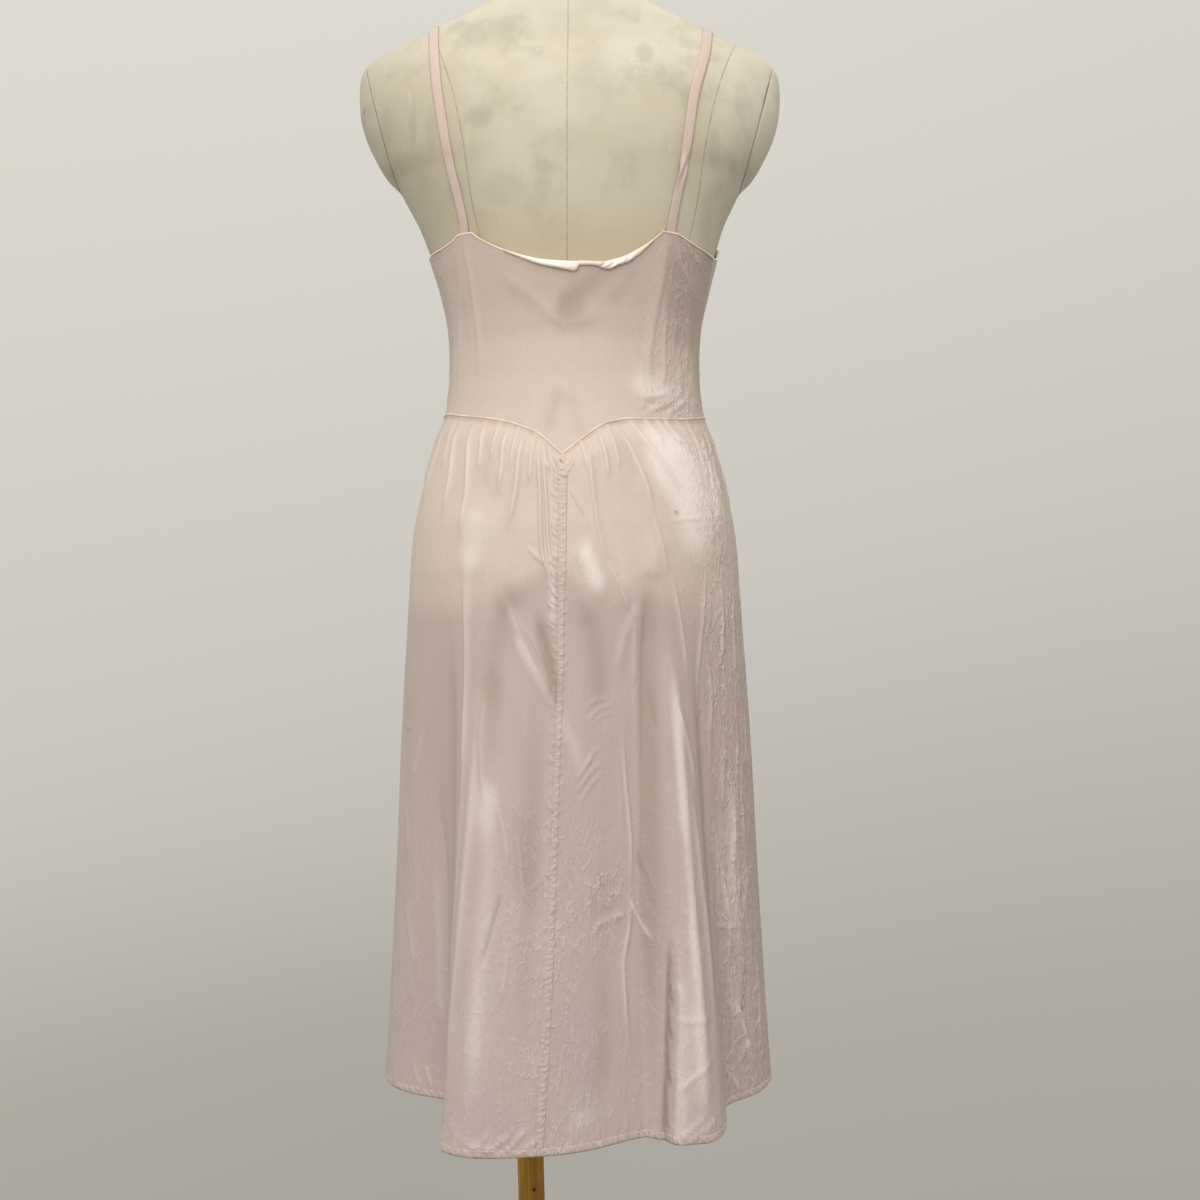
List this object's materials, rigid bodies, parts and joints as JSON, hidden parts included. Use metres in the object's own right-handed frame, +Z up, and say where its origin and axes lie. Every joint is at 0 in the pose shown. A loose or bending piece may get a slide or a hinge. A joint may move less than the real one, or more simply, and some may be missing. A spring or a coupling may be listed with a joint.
{
  "type": "slip dress on dress form",
  "caption": "Sleeveless slip dress with thin straps, a pointed waist seam and a gathered skirt, worn by a limbless dress form on a pole and round foot.",
  "frame": {"origin": "on the underside of the foot, straight under the dress form's own axis", "axes": "+Z up, +Y out of the garment's back, +X towards the wearer's left"},
  "size_m": [0.4427, 0.4, 1.499],
  "materials": {
    "silk": "soft satin sheen, plain weave",
    "satin": "glossy satin edge",
    "canvas": "worn matt canvas over papier-mache",
    "wood": "worn varnish"
  },
  "bodies": {
    "root": {"form_torso": "canvas", "form_cap_left": "canvas", "form_cap_right": "canvas", "bodice_back": "silk", "bodice_front": "silk", "neck_facing": "satin", "skirt_back_left": "silk", "skirt_back_right": "silk", "skirt_front": "silk", "strap_left": "silk", "strap_right": "silk", "pole": "wood", "base": "wood"}
  },
  "joints": []
}
